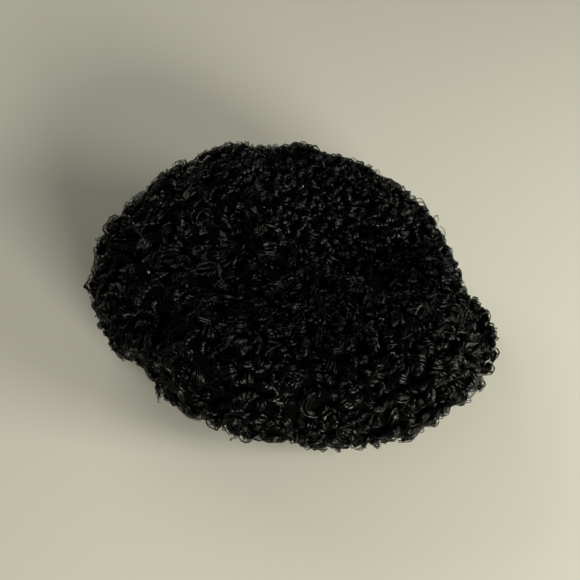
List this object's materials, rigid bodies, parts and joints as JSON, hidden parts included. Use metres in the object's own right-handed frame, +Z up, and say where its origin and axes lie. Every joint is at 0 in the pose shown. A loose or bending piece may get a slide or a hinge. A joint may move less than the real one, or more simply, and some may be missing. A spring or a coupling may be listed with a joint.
{
  "type": "peaked fur cap",
  "caption": "Soft peaked cap of black curly lamb fur: a slumped, sunken crown over a plain head band, with a short fur peak.",
  "frame": {"origin": "middle of the hat's footprint, on the surface that the head band stands on", "axes": "+Z up, the peak points along -Y, +X towards the wearer's left"},
  "size_m": [0.2574, 0.3005, 0.1061],
  "materials": {
    "curly_fur": "glossy black curled lamb fur",
    "skin_backing": "matt black felted underfur and plain facing",
    "band_ribbon": "ribbed black ribbon"
  },
  "bodies": {
    "root": {"crown": "curly_fur", "crown_underside": "curly_fur", "head_band": "band_ribbon", "peak": "curly_fur"}
  },
  "joints": []
}
